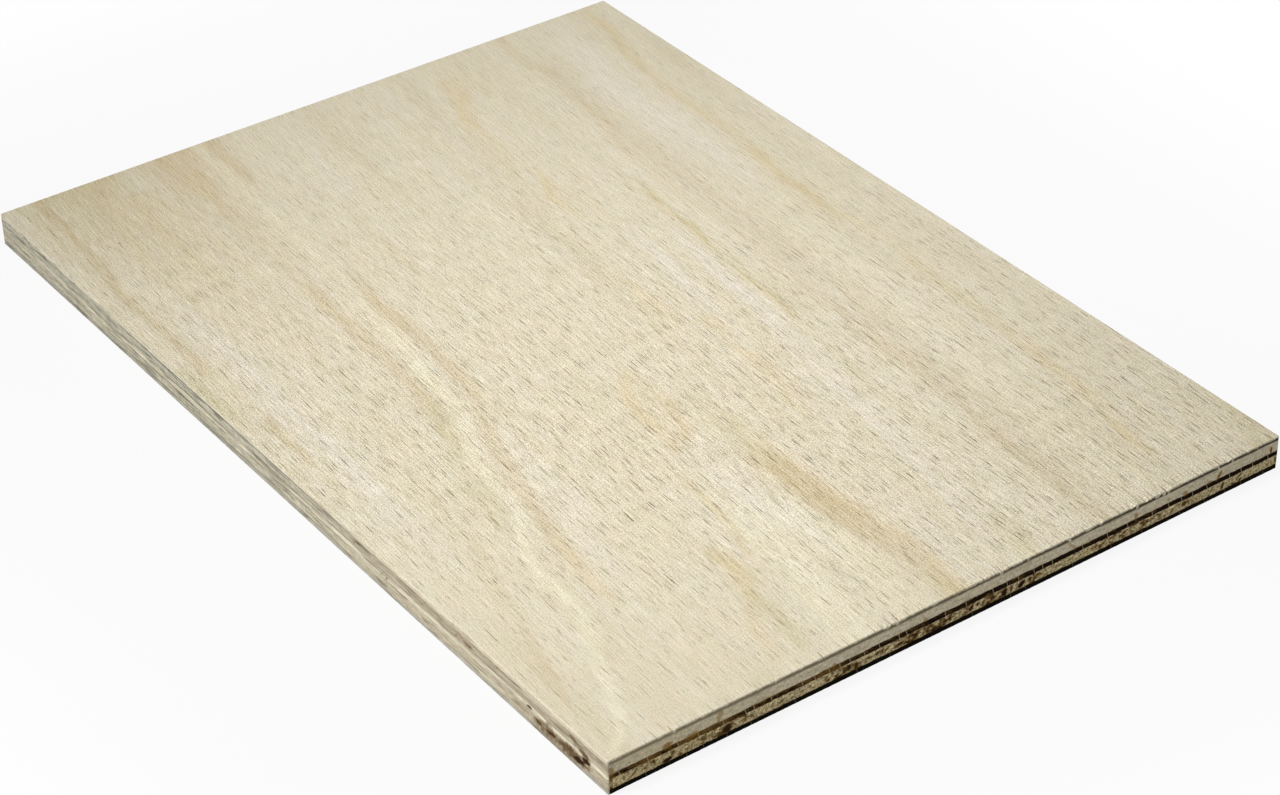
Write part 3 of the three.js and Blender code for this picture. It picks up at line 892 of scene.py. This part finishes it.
def core_veneer():
    """The core: darkened end grain on the ends, pale long grain along the sides."""
    edge = Edge("core_veneer")
    along, x, y, z = edge.along, edge.x, edge.y, edge.z
    cloud, rise, mix = edge.cloud, edge.rise, edge.mix
    long_shade, streak = edge.long_grain(61.0, 0.42)
    end_shade, pores = edge.end_grain(67.0, 0.4)
    # Charred: brown and broken at the front, nearly black from the middle to the back.
    char = cloud(along / 6, z / 2, 8.0, 2.0) + cloud(along / 1.2, z / 0.6, 9.0) * 0.8
    char = char + rise(y, -50.0, -5.0) * 0.45 + rise(y, 60.0, 85.0) * 0.35
    char = char - rise(edge.level, 0.6, 1.0) * 0.3
    ends = edge.lit(mix(rise(char, -0.45, 0.45), display(122, 92, 44), display(28, 15, 5)), end_shade)
    ends = mix(edge.core_rays() * 0.75, ends, display(190, 172, 134))
    dull = rise(cloud(x / 22, z / 0.9, 70.0, 1.0), -0.05, 0.3)
    side = mix(dull * 0.5, edge.lit(display(230, 221, 196), long_shade), display(178, 170, 148))
    side = mix(edge.drawn_lines(64.0) * 0.6, side, display(112, 102, 80))
    height = streak * (1 - edge.end) + pores * edge.end
    return edge.wood(edge.sawn(side, ends), 0.85, 0.05, height, 0.03)


def back_veneer():
    """The back: a darker veneer, greyed along the sides, and almost black on the ends: dark end grain with
    painted shade, as the bottom of the edge lies in shadow.
    """
    edge = Edge("beech_back")
    x, y = edge.x, edge.y
    lay = y - x * math.tan(GRAIN_SLOPE) + edge.cloud(x / 60, y / 22, 23.0) * 2.2
    broad = edge.cloud(x / 90, lay / 7, 21.0, 3.0)
    fibre = edge.cloud(x / 3, lay / 0.4, 22.0, 3.0, 0.6)
    marks = flecks(edge, x, lay, (4.4, 1.8), 1.6, 0.2, 0.85, 71.3)
    flat = edge.mix(edge.rise(broad, -0.5, 0.5), display(196, 178, 148), display(212, 198, 168))
    flat = edge.mix(marks * 0.5, edge.lit(flat, 1 + fibre * 0.14), display(104, 78, 54))
    long_shade, streak = edge.long_grain(81.0, 0.42)
    end_shade, pores = edge.end_grain(87.0, 0.4)
    rays = edge.hairlines(edge.along, edge.z, 6.5, 0.12, 0.6, 9.0)
    # The nearly black of the ends is partly the dark end grain and partly painted shade, the shadow along
    # the bottom of the edge.
    ends = edge.mix(rays * 0.4, edge.lit(display(20, 16, 7), end_shade), display(176, 166, 140))
    side = edge.lit(display(186, 180, 164), long_shade)
    side = edge.mix(edge.drawn_lines(84.0) * 0.6, side, display(100, 94, 80))
    colour = edge.mix(edge.cut, flat, edge.sawn(side, ends))
    height = edge.sawn_relief(streak, pores, fibre)
    return edge.wood(colour, 0.65 + 0.2 * edge.cut, 0.05, height, 0.03)


# ---- The sheet ----

UPPER_SIDES = display(194, 190, 170), display(177, 164, 141)
LOWER_SIDES = display(200, 194, 172), display(193, 182, 157)
FINISHES = {
    "face_veneer": (face_veneer(), "beech_face"),
    "upper_crossband": (
        crossband("upper_crossband", 41.0, UPPER_SIDES, display(226, 214, 185), 0.12),
        "crossband",
    ),
    "core_veneer": (core_veneer(), "core"),
    "lower_crossband": (
        crossband("lower_crossband", 51.0, LOWER_SIDES, display(224, 206, 160), 0.95),
        "crossband",
    ),
    "back_veneer": (back_veneer(), "beech_back"),
}

for ply, node in enumerate(PLIES):
    material, slot = FINISHES[node]
    piece = ply_mesh(ply)
    piece.data.materials.append(material)
    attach(piece, "root")
    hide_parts(node)

# ---- Floor, light and camera ----

# Half the floor's width, in metres. It lies a hair below the sheet, in millimetres, so that the two
# faces don't share a plane.
FLOOR_REACH, FLOOR_DROP = 4.0, 0.03
FLOOR_GREY = 0.7
# How much of its shading the floor keeps beside the sheet, and where that starts and stops fading.
SHADE_SHARE, SHADE_NEAR, SHADE_FAR = 0.1, 10.0, 150.0
SKY_STRENGTH = 0.3


def lay_floor():
    """A pale floor that shows white, with a faint shade close round the sheet."""
    span = FLOOR_REACH
    level = (underside - FLOOR_DROP) * MM
    mesh = bpy.data.meshes.new("floor")
    corners = [(-span, -span), (span, -span), (span, span), (-span, span)]
    mesh.from_pydata([(x, y, level) for x, y in corners], [], [(0, 1, 2, 3)])
    floor = bpy.data.objects.new("floor", mesh)
    bpy.context.collection.objects.link(floor)
    paper = Finish("floor")
    aside = paper.math("MAXIMUM", abs(paper.x) - half_length, 0.0)
    ahead = paper.math("MAXIMUM", abs(paper.y) - half_width, 0.0)
    away = (aside**2 + ahead**2) ** 0.5
    seen = paper.node("LightPath", {}, {}, "Is Camera Ray")
    direct = seen + seen.also("Is Glossy Ray") + seen.also("Is Transmission Ray")
    direct = paper.math("MINIMUM", direct, 1.0)
    white = direct * (1 - SHADE_SHARE + SHADE_SHARE * paper.rise(away, SHADE_NEAR, SHADE_FAR))
    matt = paper.node("BsdfDiffuse", {}, {"Color": (FLOOR_GREY, FLOOR_GREY, FLOOR_GREY, 1)})
    glow = paper.node("Emission", {}, {"Color": (1, 1, 1, 1), "Strength": 1.0})
    # The second Shader input of the mix is the one that the factor brings in.
    both = paper.node("MixShader", {}, {"Fac": white, "Shader": matt, "Shader_001": glow})
    paper.node("OutputMaterial", {}, {"Surface": both})
    mesh.materials.append(paper.material)


lay_floor()

world = bpy.data.worlds.new("studio")
bpy.context.scene.world = world
world.use_nodes = True
world.node_tree.nodes["Background"].inputs["Color"].default_value = (1, 1, 1, 1)
world.node_tree.nodes["Background"].inputs["Strength"].default_value = SKY_STRENGTH

# A broad soft lamp high over the front of the sheet. Its cone is narrowed unevenly and turned, so
# that the light is fullest at the middle and fades towards the corners.
LAMP_PLACE, LAMP_AIM = Vector((-0.140, -0.867, 1.090)), Vector((0.034, 0.018, 0))
LAMP_TURN, LAMP_NARROWING = 1.31, (0.065, 0.135, 1)
LAMP_POWER, LAMP_CONE, LAMP_RADIUS = 79, 3.08, 0.12
lamp_data = bpy.data.lights.new("overhead", "SPOT")
lamp_data.energy = LAMP_POWER
lamp_data.spot_size = LAMP_CONE
lamp_data.spot_blend = 1
lamp_data.shadow_soft_size = LAMP_RADIUS
lamp = bpy.data.objects.new("overhead", lamp_data)
facing = (LAMP_AIM - LAMP_PLACE).to_track_quat("-Z", "Y").to_matrix().to_4x4()
shaped = Matrix.Rotation(LAMP_TURN, 4, "Z") @ Matrix.Diagonal((*LAMP_NARROWING, 1))
lamp.matrix_world = Matrix.Translation(LAMP_PLACE) @ facing @ shaped
lamp.visible_camera = False
bpy.context.collection.objects.link(lamp)

# The camera looks down on the sheet from the front right, from a good arm's length away.
AZIMUTH, ELEVATION, ROLL = math.radians(54.734), math.radians(34.575), math.radians(-1.143)
CAMERA_PLACE, CAMERA_LENS = (0.6293, -0.4340, 0.5109), 95.54
camera_data = bpy.data.cameras.new("camera")
camera_data.lens = CAMERA_LENS
camera = bpy.data.objects.new("camera", camera_data)
turned = Matrix.Rotation(AZIMUTH, 3, "Z") @ Matrix.Rotation(math.pi / 2 - ELEVATION, 3, "X")
camera.rotation_euler = (turned @ Matrix.Rotation(ROLL, 3, "Z")).to_euler()
camera.location = CAMERA_PLACE
bpy.context.collection.objects.link(camera)
bpy.context.scene.camera = camera
bpy.context.scene.view_settings.view_transform = "Standard"
